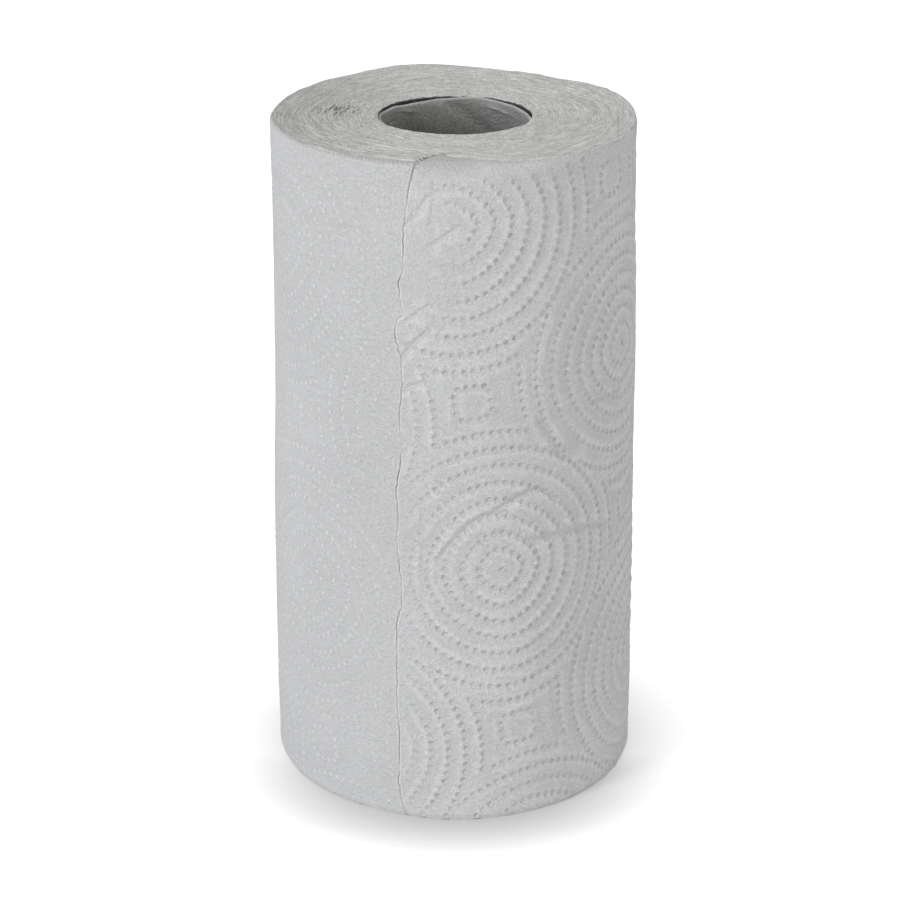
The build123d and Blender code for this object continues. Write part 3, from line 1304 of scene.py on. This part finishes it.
def tube_inside(azimuth, level):
    """Inner radius of the tube."""
    squeezed = mouth_push(azimuth) * ease((level - tube_length + mouth_depth) / mouth_depth)
    degrees = np.degrees(azimuth)
    climbed = (tube_length - level) / seam_rise - (seam_top_azimuth - degrees) / 360
    beside = ((climbed + 0.5) % 1 - 0.5) * seam_rise
    groove_here = np.exp(-((beside / seam_half_width) ** 2))
    ply_step = ease(0.5 + beside / ply_step_width) - ease(0.5 + beside / ply_fade_width)
    radius = tube_radius + squeezed + seam_depth * groove_here + ply_height * ply_step
    for depth, height, climb, middle, half_length in wrinkles:
        across = np.abs(level - height - climb * (degrees - middle)) / wrinkle_half_width
        length_share = np.abs(degrees - middle) / half_length
        radius = radius + depth * (1 - ease(across)) * (1 - ease(length_share))
    return radius


print("the mouth is pushed outwards by up to", mouth_push(once_round).max().round(2), "mm")

# %% [markdown]
# ## The finish of the board
# Recycled board is grey-brown, with fibres and darker specks. Deep in the tube its colour is
# painted darker than real board is, as painted shade, so that the hole stays as dark as on the real
# roll. Near the mouth, where more light comes in, the painted shade fades and the board is paler,
# and its cut edge is the lightest, because the raw board shows there.

# %% Grey board
# Painted shade: deep in the tube the board is painted darker than real board.
painted_deep_dark = grey(0.07, 0.002, -0.004)      # deep in the tube
painted_deep_light = grey(0.16, 0.003, -0.006)
speck_shade = grey(0.09)
mouth_dark = grey(0.30)                     # near the mouth
mouth_light = grey(0.50, 0.0, -0.01)
cut_edge = grey(0.58)


def grey_board():
    """Recycled board: grey-brown, with fibres and darker specks, and painted shade deep in the tube."""
    board = Finish(bpy.data.materials.new("grey_board"))
    place = board.node("ShaderNodeTexCoord", take="Object")
    fibres = board.noise(place, 1100.0, 4.0, 0.7)
    clouds = board.noise(place, 60.0, 2.0)
    specks = board.noise(place, 1600.0, 1.0)
    tone = board.share(0.7 * fibres + 0.3 * clouds, 0.30, 0.70)
    colour = board.blend(tone, painted_deep_dark, painted_deep_light)
    dark = board.share(specks, 0.62, 0.74)
    colour = board.blend(0.5 * dark, colour, speck_shade)
    # The painted shade fades out towards the mouth, where the board shows its own paler colour.
    unshaded_near_mouth = board.share(board.part("Z", place), 0.207, 0.2225)
    colour = board.blend(unshaded_near_mouth, colour, board.blend(tone, mouth_dark, mouth_light))
    upward = board.part("Z", board.node("ShaderNodeNewGeometry", take="Normal"))
    colour = board.blend(board.share(upward, 0.3, 0.8), colour, cut_edge)
    return board.surface(colour, 0.8 + 0.12 * fibres, fibres, 0.0012, Specular_IOR_Level=0.15)


board_finish = grey_board()
print(board_finish.name, "has", len(board_finish.node_tree.nodes), "nodes")

# %% Make the tube
tube_columns = 300
fine_from = 168.0           # the loops are close together from this level up
edge_rows = (   # share of the wall's thickness, how far below the mouth: a softly rounded edge
    (1.0, 0.3), (0.9, 0.0), (0.5, 0.1), (0.2, 0.3), (0.0, 0.7),
)

around = np.arange(tube_columns) / tube_columns * 2 * pi
around = np.where(around > pi, around - 2 * pi, around)
levels = np.concatenate([np.arange(0, fine_from, 6.0), np.arange(fine_from, tube_length - 1.6, 0.5)])
mouth = tube_length + 0.25 * uneven_round(around, 30, 0 * around, 48) - 0.25
mouth = mouth - 0.3 * bump(around, 128, 44) + 0.45 * bump(around, 70, 50)
mouth_inside = tube_inside(around, tube_length)
loops = [loop(around, tube_inside(around, level) + tube_wall, level) for level in levels]
for share, drop in edge_rows:
    loops.append(loop(around, mouth_inside + share * tube_wall, mouth - drop))
loops += [loop(around, tube_inside(around, level), level) for level in levels[::-1]]
core_tube = loops_piece("core_tube", np.array(loops)[::-1], board_finish)

# %% [markdown]
# ## Riding on the frame
# Nothing on a paper roll moves, so every piece rides on the one body, `root`. The wound paper
# stands for the CAD model's paper, and the dressed tube for its tube. The two sheets are part of
# the same paper.

# %% Tie the pieces to the CAD model
pieces = (
    (last_sheet, "paper"),
    (next_sheet, "paper"),
    (paper_body, "paper"),
    (core_tube, "cardboard"),
)
for piece, slot in pieces:
    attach(piece, "root")
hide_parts("paper_roll")
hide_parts("core")
print("pieces on the frame:", ", ".join(piece.name for piece, slot in pieces))
